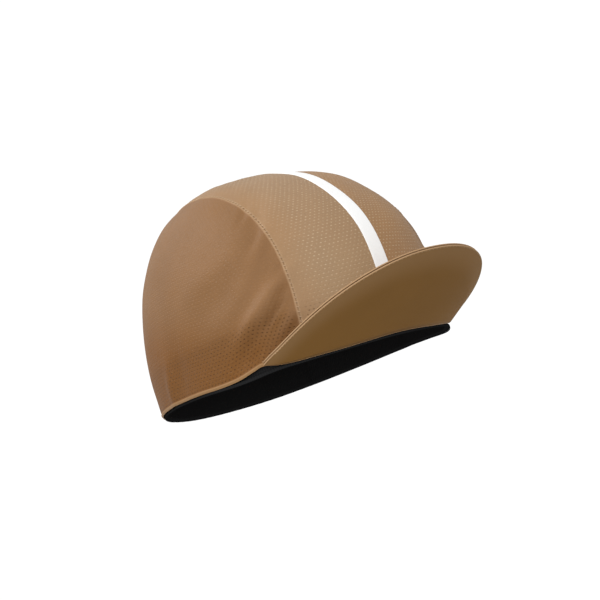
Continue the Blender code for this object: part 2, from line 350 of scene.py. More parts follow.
class Wire:
    """An output socket, which Python's operators send through Math nodes."""

    def __init__(self, paint, socket):
        self.paint, self.socket = paint, socket

    def maths(self, operation, *values):
        return self.paint.node("ShaderNodeMath", {"operation": operation}, dict(enumerate(values)))

    def __add__(self, other):
        return self.maths("ADD", self, other)

    def __sub__(self, other):
        return self.maths("SUBTRACT", self, other)

    def __rsub__(self, other):
        return self.maths("SUBTRACT", other, self)

    def __mul__(self, other):
        return self.maths("MULTIPLY", self, other)

    def __truediv__(self, other):
        return self.maths("DIVIDE", self, other)

    __radd__, __rmul__ = __add__, __mul__

    def floor(self):
        return self.maths("FLOOR", self)

    def fraction(self):
        return self.maths("FRACT", self)

    def wave(self):
        """A sine that repeats with each whole number."""
        return self.maths("SINE", self * (2 * math.pi))

    def root(self):
        return self.maths("SQRT", self)

    def ramp(self, low, high):
        """0 at low and 1 at high, smooth between. Low may be the larger."""
        limits = {"Value": self, "From Min": low, "From Max": high}
        return self.paint.node("ShaderNodeMapRange", {"interpolation_type": "SMOOTHSTEP"}, limits)


class Paint:
    """The nodes of a material or a world, round the shader of this name."""

    def __init__(self, owner, shader="Principled BSDF", **constants):
        owner.use_nodes = True
        self.owner, self.tree = owner, owner.node_tree
        self.shader = self.tree.nodes[shader]
        for socket, value in constants.items():
            self.shade(socket.replace("_", " "), value)

    def connect(self, value, socket):
        if isinstance(value, Wire):
            self.tree.links.new(value.socket, socket)
        elif isinstance(value, (int, float)):
            socket.default_value = value
        else:
            value = tuple(value)
            socket.default_value = value + (1.0,) * (len(socket.default_value) - len(value))

    def node(self, kind, settings=None, values=None, output=0):
        made = self.tree.nodes.new(kind)
        for name, value in (settings or {}).items():
            setattr(made, name, value)
        for socket, value in (values or {}).items():
            self.connect(value, made.inputs[socket])
        return Wire(self, made.outputs[output])

    def shade(self, socket, value):
        self.connect(value, self.shader.inputs[socket])

    def tint(self, colour, *layers):
        """Colours the surface. Each layer is (share, colour), laid over those before it. Sockets 6
        and 7 are the Mix node's two colours."""
        for share, other in layers:
            colour = self.node("ShaderNodeMix", {"data_type": "RGBA"}, {0: share, 6: colour, 7: other}, 2)
        self.shade("Base Color", colour)

    def number(self, name):
        """A number that the mesh holds at its points."""
        return self.node("ShaderNodeAttribute", {"attribute_name": name}, output="Fac")

    def cloth_place(self):
        """The place on the cloth in millimetres, across and along."""
        place = self.node("ShaderNodeUVMap", {"uv_map": "cloth"})
        across = self.node("ShaderNodeSeparateXYZ", {}, {0: place}, 0)
        along = Wire(self, across.socket.node.outputs[1])
        return across * TO_MM, along * TO_MM

    def noise(self, across, along, size, detail=2.0):
        """Noise from 0 to 1 on the cloth, its patches about this many millimetres across."""
        place = self.node("ShaderNodeCombineXYZ", {}, {0: across / size, 1: along / size})
        settings = {"noise_dimensions": "2D"}
        return self.node("ShaderNodeTexNoise", settings, {"Vector": place, "Scale": 1.0, "Detail": detail})

    def relief(self, height, distance, strength=1.0):
        values = {"Height": height, "Distance": distance, "Strength": strength}
        self.shade("Normal", self.node("ShaderNodeBump", {}, values))


def darker(colour, share):
    return tuple(share * part for part in colour[:3])


def knit_finish(name, tones, colours, sizes, row_pitch, dot_light, ridge_highlight, gloss):
    """Mesh knit: staggered small holes, light where nothing is behind them and dark over the band,
    where no light comes through the cloth either. Tones are the cloth's colour; its colour low down,
    which paints shade into the side panels and light into the centre panel above the peak; and its
    colour on the wearer's left, painted in shade, if that is another."""
    colour, low_light_and_shade, shaded_left_colour = tones
    paint = Paint(bpy.data.materials.new(name), Specular_IOR_Level=gloss)
    across, along = paint.cloth_place()
    from_edge, from_seam = paint.number("from_edge") * TO_MM, paint.number("from_seam") * TO_MM
    cell = sizes.hole_pitch * TO_MM
    column, row = across / cell, along / (row_pitch * TO_MM)
    x = ((column + (row.floor() / 2).fraction()).fraction() - 0.5) * cell
    y = (row.fraction() - 0.5) * (row_pitch * TO_MM)
    reach = (x * x * 0.6 + y * y * 1.6).root()
    holes = reach.ramp(sizes.hole_width * 0.56 * TO_MM, sizes.hole_width * 0.18 * TO_MM)
    hem = from_edge.ramp(sizes.hem_height * TO_MM + 0.6, sizes.hem_height * TO_MM - 0.2)
    open_cloth = (1 - hem) * from_seam.ramp(2.8, 4.2)
    holes = holes * open_cloth
    over_band = from_edge.ramp(sizes.band_height * TO_MM + 3.5, sizes.band_height * TO_MM - 2.5)
    patches = paint.noise(across, along, 26.0)
    slubs = paint.noise(across * 0.45, along, 0.9, 1.0)
    wales = (across / WALE).wave()
    courses = (along / COURSE + (across / WALE).wave() * 0.2).wave()
    # Where the low colours take over: painted shade low on the side panels, painted light low on the centre
    # panel above the peak.
    low = (from_edge - across * sizes.low_shading_lean).ramp(sizes.low_shading_top * TO_MM, sizes.low_shading_foot * TO_MM)
    specks = paint.noise(across, along, 2.6, 1.0)
    light_holes = holes * (1 - over_band) * (0.5 + 0.6 * patches) * specks.ramp(0.15, 0.65)
    light_holes = light_holes * from_seam.ramp(-4.0, 20.0)
    # Painted highlight on the raised fold beside each seam, laid in the seam thread's colour.
    ridge = from_seam.ramp(1.5, 0.5) * from_seam.ramp(-0.2, 0.1)
    # Painted shade: the left half beyond the tape takes the shaded colour, and near both seams the panel is
    # darkened towards it.
    left_and_seam_shade = (
        (across.ramp(3.0, -3.0) * 0.85, shaded_left_colour),
        (from_seam.ramp(20.0, 2.0) * 0.6, darker(shaded_left_colour, 0.9)),
    ) if shaded_left_colour else ()
    paint.tint(
        colour,
        # Painted light and shade low down, then painted shade over the band.
        (low, low_light_and_shade),
        (over_band * 0.3, darker(low_light_and_shade, 0.75)),
        *left_and_seam_shade,
        (patches.ramp(0.3, 0.7) * 0.12, darker(colour, 0.5)),
        (slubs.ramp(0.55, 0.8) * 0.22, darker(colour, 1.35)),
        (wales.ramp(-1.0, 1.0) * 0.10, darker(colour, 0.75)),
        (light_holes * dot_light, colours.specks),
        (holes * over_band * specks.ramp(0.0, 0.7) * 0.9, colours.holes),
        (hem * 0.8, colours.hem),
        # Painted highlight on the seam ridge.
        (ridge * ridge_highlight, colours.seam_thread),
    )
    paint.shade("Roughness", 0.50 + 0.1 * slubs)
    height = 0.25 * wales * courses + 0.5 * slubs - 1.2 * holes
    paint.relief(height, distance=0.00018, strength=0.6)
    return paint.owner


def tape_finish(colour):
    """Smooth woven tape with fine cross ribs."""
    paint = Paint(bpy.data.materials.new("tape_white"), Sheen_Weight=0.05)
    across, along = paint.cloth_place()
    ribs = (along / TAPE_RIB).wave()
    grain = paint.noise(across, along, 0.5)
    paint.tint(colour, (grain.ramp(0.3, 0.7) * 0.25, darker(colour, 0.94)))
    paint.shade("Roughness", 0.46 + 0.1 * grain)
    paint.relief(0.4 * ribs + 0.3 * grain, distance=0.00006, strength=0.5)
    return paint.owner


def peak_finish(name, colour, edge_highlight, sizes):
    """Close plain weave drawn tight over a board, a little lighter near its free edge, with a painted
    highlight where it rolls over that edge.
    """
    paint = Paint(bpy.data.materials.new(name), Specular_IOR_Level=0.22)
    across, along = paint.cloth_place()
    edge = paint.number("from_free_edge") * TO_MM
    weave = (across / WEAVE).wave() * (along / WEAVE).wave()
    patches = paint.noise(across, along, 34.0)
    slubs = paint.noise(across * 0.5, along, 0.8)
    paint.tint(
        colour,
        (patches.ramp(0.3, 0.7) * 0.5, darker(colour, 0.92)),
        (slubs.ramp(0.5, 0.8) * 0.15, darker(colour, 1.3)),
        # Lighter over the last 20 millimetres before the free edge, and a painted highlight where the cloth
        # rolls over it.
        (edge.ramp(20.0, 1.0) * 0.26, edge_highlight),
        (edge.ramp(sizes.edge_roll * TO_MM, 0.15) * 0.9, edge_highlight),
    )
    paint.shade("Roughness", 0.76 + 0.1 * slubs)
    paint.relief(0.4 * weave + 0.5 * slubs, distance=0.00008, strength=0.5)
    return paint.owner


def band_finish(name, colour, rib):
    """Soft black knit with upright ribs this many millimetres apart."""
    paint = Paint(bpy.data.materials.new(name), Specular_IOR_Level=0.0)
    across, along = paint.cloth_place()
    ribs = (across / rib).wave()
    fluff = paint.noise(across, along, 0.7)
    paint.tint(
        colour,
        (ribs.ramp(-1.0, 1.0) * 0.35, darker(colour, 1.6)),
        (fluff.ramp(0.45, 0.8) * 0.3, darker(colour, 1.8)),
    )
    paint.shade("Roughness", 0.7 + 0.15 * fluff)
    paint.relief(0.6 * ribs + 0.6 * fluff, distance=0.0002, strength=0.6)
    return paint.owner


def thread_finish(name, colour):
    """Twisted sewing thread."""
    paint = Paint(bpy.data.materials.new(name), Roughness=0.6, Sheen_Weight=0.1)
    place = paint.node("ShaderNodeTexCoord", output="Object")
    settings, values = {"noise_dimensions": "3D"}, {"Vector": place, "Scale": 2500.0, "Detail": 1.0}
    twist = paint.node("ShaderNodeTexNoise", settings, values)
    paint.tint(colour, (twist.ramp(0.35, 0.65) * 0.5, darker(colour, 0.7)))
    paint.relief(twist, distance=0.0001, strength=0.5)
    return paint.owner


def put_in_scene(name, data, finish, node=None):
    made = bpy.data.objects.new(name, data)
    bpy.context.scene.collection.objects.link(made)
    data.materials.append(finish)
    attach(made, "root")
    if node:
        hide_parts(node)
    return made


def laid_flat(points):
    """Places on the cloth of a grid of points, across from its middle column and along each one."""
    across = steps_between(points, 0)
    return across - across[len(across) // 2][None, :], steps_between(points, 1)


def sheet_of(name, points, numbers, wall, finish, node, place=None):
    """A cloth wall whose face is the grid points[column, row]. It is as thick as wall, inwards, and
    keeps at each point its place on the cloth and the numbers given by name. With no wall, the grid
    is the whole surface, and its open ends are closed."""
    columns, rows = points.shape[0] - 1, points.shape[1] - 1
    across, along = place or laid_flat(points)
    mesh = bmesh.new()
    bmesh.ops.create_grid(mesh, x_segments=columns, y_segments=rows, size=0.5)
    layers = {key: mesh.verts.layers.float.new(key) for key in numbers}
    cloth = mesh.loops.layers.uv.new("cloth")
    for vertex in mesh.verts:
        spot = (round((vertex.co.x + 0.5) * columns), round((vertex.co.y + 0.5) * rows))
        for loop in vertex.link_loops:
            loop[cloth].uv = (across[spot], along[spot])
        for key, layer in layers.items():
            vertex[layer] = numbers[key][spot]
        vertex.co = points[spot]
    bmesh.ops.remove_doubles(mesh, verts=mesh.verts, dist=2e-6)
    if wall:
        middle_face = max(mesh.faces, key=lambda face: face.calc_area())
        if middle_face.normal.dot(middle_face.calc_center_median() - Vector((0, 0, 0.03))) < 0:
            bmesh.ops.reverse_faces(mesh, faces=mesh.faces)
    else:
        bmesh.ops.holes_fill(mesh, edges=mesh.edges)
        bmesh.ops.recalc_face_normals(mesh, faces=mesh.faces)
    data = bpy.data.meshes.new(name)
    mesh.to_mesh(data)
    mesh.free()
    data.shade_smooth()
    made = put_in_scene(name, data, finish, node)
    if wall:
        thick = made.modifiers.new("wall", "SOLIDIFY")
        thick.thickness, thick.offset, thick.use_even_offset = abs(wall), -math.copysign(1, wall), True
        round_edge = made.modifiers.new("soft edge", "BEVEL")
        round_edge.width, round_edge.segments, round_edge.limit_method = 0.28 * MM, 2, "ANGLE"
        round_edge.angle_limit = math.radians(50)
        round_edge.use_clamp_overlap = True
    return made


def rows_with_ends(length, fine, spacing):
    """Distances from 0 to a length: those in fine from both ends, and even ones between."""
    fine = np.asarray(fine)
    inner = length - 2 * fine[-1]
    count = max(int(math.ceil(inner / spacing)), 2)
    middle = fine[-1] + inner * np.linspace(0, 1, count + 1)
    return np.concatenate((fine[:-1], middle, (length - fine[:-1])[::-1]))


def centre_panel(sizes, finish):
    crown = Crown(sizes)
    width = 2 * sizes.centre_half_width
    asides = rows_with_ends(width, LAP_STEPS, CENTRE_SPACING) - width / 2
    blend_width = 20 * MM
    turns, rises = [], []
    for aside in asides:
        inset = sizes.centre_half_width - abs(aside)

        def from_middle(rise, aside=aside, inset=inset):
            reach = crown.half_width(rise) + sizes.seam_lap
            share = 1 - inset / sizes.centre_half_width
            near = reach - inset
            blended = near + (reach * share - near) * smooth(inset / blend_width)
            return np.copysign(blended, aside)

        turn, rise = crown.fore_and_aft(from_middle, CENTRE_ROWS)
        turns.append(turn)
        rises.append(rise)
    turn, rise = np.array(turns), np.array(rises)
    way = crown.from_seam(turn, rise, crown.outward(turn, rise))
    points = crown.skin(turn, rise, -crown.under_seam(way))
    numbers = {"from_edge": crown.from_edge(rise), "from_seam": -way}
    return sheet_of("crown_centre", points, numbers, sizes.wall, finish, "centre_panel")


def side_panel(sizes, name, node, hand, finish):
    crown = Crown(sizes)
    seam_turn, seam_rise = crown.fore_and_aft(crown.half_width, SIDE_COLUMNS)
    edge_turns = np.linspace(seam_turn[0], seam_turn[-1], EDGE_STEPS)
    travelled = steps_between(crown.plain(edge_turns, np.zeros(EDGE_STEPS)), 0)
    edge_turn = np.interp(np.linspace(0, travelled[-1], SIDE_COLUMNS), travelled, edge_turns)
    tall = 0.8 * sizes.height * sizes.surface_share
    shares = rows_with_ends(tall, FROM_HEM, SIDE_SPACING)
    shares = (shares / shares[-1])[None, :]
    turn = edge_turn[:, None] + (seam_turn - edge_turn)[:, None] * shares
    rise = seam_rise[:, None] * shares
    points = crown.skin(hand * turn, rise)
    numbers = {
        "from_edge": crown.from_edge(rise),
        "from_seam": crown.from_seam(turn, rise, crown.outward(turn, rise)),
    }
    return sheet_of(
        name, points, numbers, sizes.wall, finish, node, crown.cloth_place(turn, rise)
    )


def tape(sizes, finish):
    crown = Crown(sizes)
    half = sizes.tape_width / 2
    front_rise = float(crown.rise_at(sizes.tape_start))
    edge = np.array((-1.0, -0.93, -0.8, -0.45, 0.0, 0.45, 0.8, 0.93, 1.0)) * half
    places = [
        crown.fore_and_aft(lambda rise, a=a: np.full_like(rise, a), TAPE_ROWS, front_rise) for a in edge
    ]
    turn = np.array([turn for turn, _ in places])
    rise = np.array([rise for _, rise in places])
    lift = 0.06 * MM + sizes.tape_wall - 0.15 * MM * bump_at(half - np.abs(edge), 0.3 * MM)
    points = crown.skin(turn, rise, lift[:, None], detail=0.0)
    return sheet_of("middle_tape", points, {}, sizes.tape_wall, finish, "centre_tape")


class Peak:
    """The peak's surfaces, from its corners on the crown to its free edge."""

    def __init__(self, crown_sizes, sizes):
        self.crown, self.gap, self.sizes = Crown(crown_sizes), crown_sizes.gap, sizes

    def point(self, across, out, height):
        """Across from -1 to 1 at the corners, out from 0 at the crown to 1 at the free edge, and
        height over the underside."""
        sizes = self.sizes
        turn = across * sizes.turn
        rise = np.zeros_like(turn)
        root = self.crown.plain(turn, rise) + self.crown.outward(turn, rise) * self.gap
        above = self.crown.plain(turn, rise + 0.02) + self.crown.outward(turn, rise + 0.02) * self.gap
        up_the_crown = unit(above - root)
        reach = self.reach(across)
        tilt = sizes.tilt + (sizes.side_tilt - sizes.tilt) * smooth(np.abs(across))
        aside = sizes.fan * root[..., 0] / self.crown.sizes.side_reach
        forward = unit(np.stack((aside * np.cos(tilt), -np.cos(tilt), np.sin(tilt)), -1))
        level = unit(np.stack((np.ones_like(aside), aside, np.zeros_like(aside)), -1))
        upright = np.cross(level, forward)
        upright *= np.sign(upright[..., 2:])
        sheared = up_the_crown / (up_the_crown * upright).sum(-1, keepdims=True)
        lean = np.minimum(out * 3, 1)[..., None]
        way = sheared * (1 - lean) + upright * lean
        return root + forward * (reach * out)[..., None] + way * height[..., None]

    def reach(self, across):
        return self.sizes.length * (1 - np.abs(across) ** self.sizes.fullness)

    def cover(self, name, node, outer, side, finish):
        """The cover whose outer face is this far over the underside. Side is 1 where that face
        looks up, and -1 where it looks down. Its rows run along the outer face to the free edge,
        round that edge, and back along the inner face."""
        sizes = self.sizes
        across = 0.9975 * np.sin(math.pi / 2 * np.linspace(-1, 1, PEAK_COLUMNS))[:, None]
        reach = self.reach(across)
        near = EDGE_ROWS * np.minimum(1, reach / (2 * EDGE_ROWS[-1]))
        body = near[:, -1:] + (reach - near[:, -1:]) * np.linspace(0, 1, PEAK_ROWS)[None, 1:]
        insets = np.concatenate((near, body), axis=1)
        arc = np.linspace(0, math.pi, PEAK_ARC)[None, 1:-1]
        half = 0.5 * sizes.cover_wall
        round_inset = np.minimum(1, reach / (2 * EDGE_ROWS[-1])) * half * (1 - np.sin(arc))
        round_depth = half * (1 - np.cos(arc)) + 0 * reach
        quarter = half * (1 - np.sqrt(np.clip(1 - (1 - np.minimum(insets / half, 1)) ** 2, 0, 1)))
        bead = 0.10 * MM * bump_at(insets - 0.5 * MM, 0.4 * MM)
        crease = 0.10 * MM * bump_at(insets - 1.3 * MM, 0.4 * MM)
        outer_depth = np.where(insets < half, quarter, 0) - bead + crease
        inner_depth = sizes.cover_wall - quarter
        inset = np.concatenate((insets[:, ::-1], round_inset, insets), axis=1)
        depth = np.concatenate((outer_depth[:, ::-1], round_depth, inner_depth), axis=1)
        across = np.broadcast_to(across, inset.shape)
        points = self.point(across, 1 - inset / reach, outer - side * depth)
        points = np.concatenate((points, points[:, :1]), axis=1)
        inset = np.concatenate((inset, inset[:, :1]), axis=1)
        return sheet_of(name, points, {"from_free_edge": inset}, 0, finish, node)


def band(crown_sizes, sizes, name, node, start, end, columns, wave, finish):
    """A length of the sweatband between two plan angles, its upper edge rolled and its face
    gathered in waves of this height."""
    crown = Crown(crown_sizes)
    heights = rows_with_ends(sizes.height, BAND_ROWS, BAND_SPACING)
    rise = crown.rise_at(heights)[None, :]
    end_gap = 0.01 * MM
    length = (end - start) * crown_sizes.side_reach - 2 * end_gap
    places = rows_with_ends(length, BAND_ROWS, length / columns)[:, None]
    turn = start + (places + end_gap) / crown_sizes.side_reach
    turn, rise = np.broadcast_arrays(turn, rise)
    joint = sizes.join_ridge * bump_at(np.minimum(places, length - places), 0.8 * MM)
    way = np.broadcast_to(heights[None, :], turn.shape)
    gathers = wave * np.sin(turn * sizes.gathers) * np.sin(math.pi * way / sizes.height)
    upper_roll = 0.3 * MM * bump_at(way - sizes.height + 1.0 * MM, 0.8 * MM)
    beside_peak = bump_at(wrapped(turn) - sizes.flare_turn, sizes.flare_spread)
    flare = sizes.flare * (1 + 0.9 * beside_peak)
    lower_roll = -flare * (1 - smooth((way - 0.5 * MM) / (1.2 * MM)))
    depth = sizes.depth + gathers + upper_roll + lower_roll + joint
    share = 1 - smooth(rise / crown_sizes.edge_share)
    down = crown.edge_height(turn, CROWN_EDGE) - crown.edge_height(turn, BAND_EDGE) + sizes.drop
    points = crown.skin(turn, rise, -depth, detail=0.0, lower=share * down / crown.lowest_climb())
    points[..., 2] -= share * down
    return sheet_of(name, points, {}, -sizes.wall, finish, node)


def at_places(places, travelled, values):
    """Values of a row of points at these ways along it."""
    return np.stack([np.interp(places, travelled, values[:, k]) for k in range(3)], -1)


def sew(name, rows, finish):
    """Stitches as short capsules. Each row is (points, outs, pitch, length, radius, lean)."""
    mesh = bmesh.new()
    for points, outs, pitch, length, radius, lean in rows:
        travelled = steps_between(points, 0)
        places = pitch * (np.arange(int(travelled[-1] / pitch)) + 0.5)
        centre = at_places(places, travelled, points)
        ahead = at_places(places + 0.2 * MM, travelled, points)
        out = unit(at_places(places, travelled, outs))
        for spot, further, up in zip(centre, ahead, out):
            up = Vector(up)
            along = Vector(further - spot)
            if along.length < 1e-6:
                continue
            along = (Matrix.Rotation(lean, 3, up) @ along).normalized()
            aside = up.cross(along).normalized()
            up = along.cross(aside)
            turned = Matrix((along, aside, up)).transposed().to_4x4()
            shape = Matrix.Diagonal((length / 2, radius, radius, 1))
            poles_along = Matrix.Rotation(math.pi / 2, 4, "Y")
            place = Matrix.Translation(Vector(spot)) @ turned @ shape @ poles_along
            bmesh.ops.create_uvsphere(mesh, u_segments=8, v_segments=6, radius=1.0, matrix=place)
    data = bpy.data.meshes.new(name)
    mesh.to_mesh(data)
    mesh.free()
    data.shade_smooth()
    return put_in_scene(name, data, finish)


def seam_rows(sizes):
    """Rows of slanted stitches over both seams."""
    crown = Crown(sizes)
    rows = []
    for hand in (1, -1):
        def beside(rise, hand=hand):
            return hand * (crown.half_width(rise) - sizes.stitch_aside)

        turn, rise = crown.fore_and_aft(beside, 400)
        points = crown.skin(turn, rise, 0.16 * MM)
        outs = crown.outward(turn, rise)
        rows.append((points, outs, sizes.stitch_pitch, SEAM_STITCH, SEAM_THREAD, hand * SEAM_LEAN))
    return rows


def peak_rows(crown_sizes, sizes):
    """Top stitches along the peak's free edge, on its underside and its top."""
    peak = Peak(crown_sizes, sizes)
    rows = []
    share = np.sin(math.pi / 2 * np.linspace(-1, 1, 600))
    share = share[np.abs(share) < 0.93]
    out = 1 - sizes.stitch_inset / peak.reach(share)
    for height, side in ((sizes.under_face, -1), (sizes.top_face, 1)):
        points = peak.point(share, out, np.full_like(share, height - 0.06 * MM * side))
        further = peak.point(share, out, np.full_like(share, height + 1.0 * MM))
        rows.append((points, (further - points) * side, EDGE_PITCH, EDGE_STITCH, EDGE_THREAD, 0.0))
    return rows


def face_along(position, back, up_hint=Vector((0, 0, 1))):
    """The matrix of a camera or lamp that looks against back."""
    back = back.normalized()
    right = up_hint.cross(back).normalized()
    up = back.cross(right)
    turned = Matrix((right, up, back)).transposed().to_4x4()
    return Matrix.Translation(position) @ turned


def length_of(name, description, default):
    return FloatProperty(name=name, description=description, default=default, unit="LENGTH")


def number_of(name, description, default):
    return FloatProperty(name=name, description=description, default=default)


def angle_of(name, description, degrees):
    return FloatProperty(name=name, description=description, default=math.radians(degrees), subtype="ANGLE")


class CapCrown(bpy.types.PropertyGroup):
    front_reach: length_of("Front reach", "Widest line to the front", 0.0969)
    back_reach: length_of("Back reach", "Widest line to the back", 0.0980)
    side_reach: length_of("Side reach", "Middle to the side", 0.0811)
    height: length_of("Height", "Opening to the top", 0.1200)
    widest_forward: length_of("Widest line", "How far it lies before the opening's middle", 0.0019)
    plan_fullness: number_of("Plan fullness", "2 is an ellipse, more is squarer", 2.07)
    surface_share: number_of("Way over the surface", "From edge to top, in crown heights", 1.35)
    edge_lift: length_of("Edge lift", "Height of the edge's waves", 0.0030)
    edge_share: number_of("Edge share", "Rise at which those waves end", 1 / 3)
    wall: length_of("Wall", "Thickness of the knit", 0.0006)
    gap: length_of("Gap", "Between pieces sewn together", 0.0003)
    centre_half_width: length_of("Centre half width", "Middle to a seam", 0.0460)
    seam_sink: length_of("Seam sink", "How far seams draw in", 0.0007)
    seam_pull: length_of("Seam pull", "How wide they draw in", 0.0100)
    seam_ridge: length_of("Seam ridge", "Folded edge beside it", 0.00022)
    seam_lap: length_of("Seam lap", "Centre panel under it", 0.0018)
    stitch_pitch: length_of("Stitch pitch", "Along the seams", 0.0025)
    stitch_aside: length_of("Stitch aside", "From the seam", 0.0001)
    hem_height: length_of("Hem height", "Turned-up strip", 0.0015)
    hem_lift: length_of("Hem lift", "How far it stands out", 0.00032)
    left_folds: number_of("Left folds", "Depth on the left, as a share", 0.5)
    ripple: length_of("Ripple", "Waves of slack cloth", 0.00022)
    tape_width: length_of("Tape width", "Across the tape", 0.0089)
    tape_wall: length_of("Tape wall", "Thickness of the tape", 0.0004)
    tape_start: length_of("Tape start", "Height over the edge", 0.0053)
    hole_pitch: length_of("Hole pitch", "Between the knit's holes", 0.00245)
    hole_width: length_of("Hole width", "Across one hole", 0.0010)
    centre_row: length_of("Centre rows", "Between rows of holes", 0.0020)
    side_row: length_of("Side rows", "Between rows of holes", 0.00178)
    band_height: length_of("Band height", "Of the band behind", 0.0235)
    # Where the painted light and shade low on the crown starts, where it is full, and how far it climbs
    # towards the back.
    low_shading_top: length_of("Low shading top", "Where the low tone starts", 0.060)
    low_shading_foot: length_of("Low shading foot", "Where the low tone is full", 0.022)
    low_shading_lean: number_of("Low shading lean", "How far it climbs towards the back", 0.35)


class CapPeak(bpy.types.PropertyGroup):
    length: length_of("Length", "Crown to free edge", 0.0546)
    turn: angle_of("Corners", "Plan angle", 49.7)
    tilt: angle_of("Tilt", "At its middle", 32.2)
    side_tilt: angle_of("Side tilt", "At its corners", 30.7)
    fan: number_of("Fan", "How far its sides spread", 0.41)
    fullness: number_of("Fullness", "2 is a round edge, more is squarer", 2.43)
    cover_wall: length_of("Cover wall", "Thickness of a cover", 0.0007)
    under_face: length_of("Under face", "Height of the underside", 0.0002)
    top_face: length_of("Top face", "Over the underside", 0.0022)
    stitch_inset: length_of("Stitch inset", "From the free edge", 0.0007)
    edge_roll: length_of("Edge roll", "Width of the lighter edge", 0.0005)


class CapBand(bpy.types.PropertyGroup):
    height: length_of("Height", "Of the band", 0.0245)
    wall: length_of("Wall", "Thickness", 0.0010)
    depth: length_of("Depth", "Crown's face to its own", 0.0034)
    drop: length_of("Drop", "Below the crown's edge", 0.0013)
    flare: length_of("Flare", "Of its lower edge, outwards", 0.0012)
    flare_turn: angle_of("Widest flare", "Plan angle", 62)
    flare_spread: angle_of("Flare spread", "Either side of it", 16)
    join_ridge: length_of("Join ridge", "Seam where the two meet", 0.0006)
    elastic_turn: angle_of("Join", "Plan angle", 140)
    gathers: number_of("Gathers", "Waves of the elastic, in each radian", 70.0)


def colour_of(name, description, default):
    return FloatVectorProperty(
        name=name, description=description, default=default, size=3, min=0.0, max=1.0, subtype="COLOR"
    )


class CapColours(bpy.types.PropertyGroup):
    # The centre panel's colour is the side panels' cloth made paler and greyer by a painted sheen.
    centre: colour_of("Centre panel", "Knit of the centre panel", (0.322, 0.198, 0.103))
    # Its left half beyond the tape, painted in shade: the same cloth with less of the painted sheen.
    centre_left_shaded: colour_of("Centre panel's left", "Beyond the tape", (0.354, 0.188, 0.075))
    side: colour_of("Side panels", "Knit of the side panels", (0.243, 0.121, 0.046))
    specks: colour_of("Specks", "Light that shows through the knit's holes", (0.58, 0.43, 0.28))
    hem: colour_of("Hem", "Turned-up strip along the lower edge", (0.350, 0.200, 0.088))
    # Painted shade: the peak's underside is the crown's cloth drawn darker and more saturated.
    peak: colour_of("Peak underside", "Cloth under the peak", (0.205, 0.0985, 0.0195))
    # Painted highlight where the cloth rolls over the peak's free edge and faces out and up.
    peak_edge_highlight: colour_of("Peak edge", "Cloth rolled over its free edge", (0.43, 0.27, 0.145))
    tape: colour_of("Tape", "The tape over the middle", (0.90, 0.90, 0.89))
    band: colour_of("Band", "Sweatband and elastic", (0.0140, 0.0142, 0.0148))
    # Low down: the side panels darker where the band lies behind them and in painted shade where less light
    # falls; the centre panel painted lighter just above the peak, where the peak shades it.
    side_low_shade: colour_of("Side panels, low", "Where the band lies behind them", (0.195, 0.075, 0.0115))
    centre_low_light: colour_of("Centre panel, low", "Just above the peak", (0.372, 0.243, 0.131))
    holes: colour_of("Holes", "The knit's holes over the band", (0.068, 0.026, 0.004))
    seam_thread: colour_of("Seam thread", "Stitches over the seams", (0.54, 0.36, 0.21))
    edge_thread: colour_of("Edge thread", "Stitches along the peak's edge", (0.52, 0.36, 0.18))


class CapStudio(bpy.types.PropertyGroup):
    azimuth: angle_of("Azimuth", "From the front", -34.68)
    elevation: angle_of("Elevation", "Of the camera", -8.68)
    roll: angle_of("Roll", "Of the camera", 17.80)
    distance: length_of("Distance", "Camera to aim", 0.582)
    aside: length_of("Aim aside", "Along the picture's width", -0.0033)
    above: length_of("Aim above", "Along the picture's height", 0.0429)
    lens: number_of("Lens", "Focal length in millimetres", 59.76)
    floor: length_of("Floor", "Height of the floor", -0.55)
    key: number_of("Key", "Power of the main light, watts", 7.0)
    fill: number_of("Fill", "Power of the light above, watts", 5.6)
    sky_low: number_of("Light from below", "Strength", 0.42)
    sky_high: number_of("Light from above", "Strength", 0.85)
    backdrop: number_of("Backdrop", "Brightness behind the cap", 1.05)


def groups(context, *names):
    """The panel's groups of these names."""
    return [getattr(context.scene, "cap_" + name) for name in names]


class CAP_OT_crown(bpy.types.Operator):
    """Builds the three knitted panels of the crown and the tape over its middle"""

    bl_idname = "cap.crown"
    bl_label = "Crown Panels"

    def execute(self, context):
        sizes, colours = groups(context, "crown", "colours")
        centre_knit = knit_finish(
            "centre_knit", (colours.centre, colours.centre_low_light, colours.centre_left_shaded), colours, sizes,
            row_pitch=sizes.centre_row, dot_light=0.85, ridge_highlight=0.3, gloss=0.35,
        )
        side_knit = knit_finish(
            "side_knit", (colours.side, colours.side_low_shade, None), colours, sizes,
            row_pitch=sizes.side_row, dot_light=0.09, ridge_highlight=0.45, gloss=0.22,
        )
        middle = centre_panel(sizes, centre_knit)
        sides = [
            side_panel(sizes, "crown_side_right", "side_panel_right", 1, side_knit),
            side_panel(sizes, "crown_side_left", "side_panel_left", -1, side_knit),
        ]
        strip = tape(sizes, tape_finish(colours.tape))
        return {"FINISHED"}


class CAP_OT_peak(bpy.types.Operator):
    """Builds the peak's two covers"""

    bl_idname = "cap.peak"
    bl_label = "Peak"

    def execute(self, context):
        crown_sizes, sizes, colours = groups(context, "crown", "peak", "colours")
        peak = Peak(crown_sizes, sizes)
        # The underside's cloth is the top's in painted shade.
        shaded_underside = peak_finish("peak_shaded_underside", colours.peak, colours.peak_edge_highlight, sizes)
        top_cloth = peak_finish("peak_top_cloth", colours.side, colours.peak_edge_highlight, sizes)
        under = peak.cover("peak_lower", "peak_under_cover", sizes.under_face, -1, shaded_underside)
        upper = peak.cover("peak_upper", "peak_top_cover", sizes.top_face, 1, top_cloth)
        return {"FINISHED"}


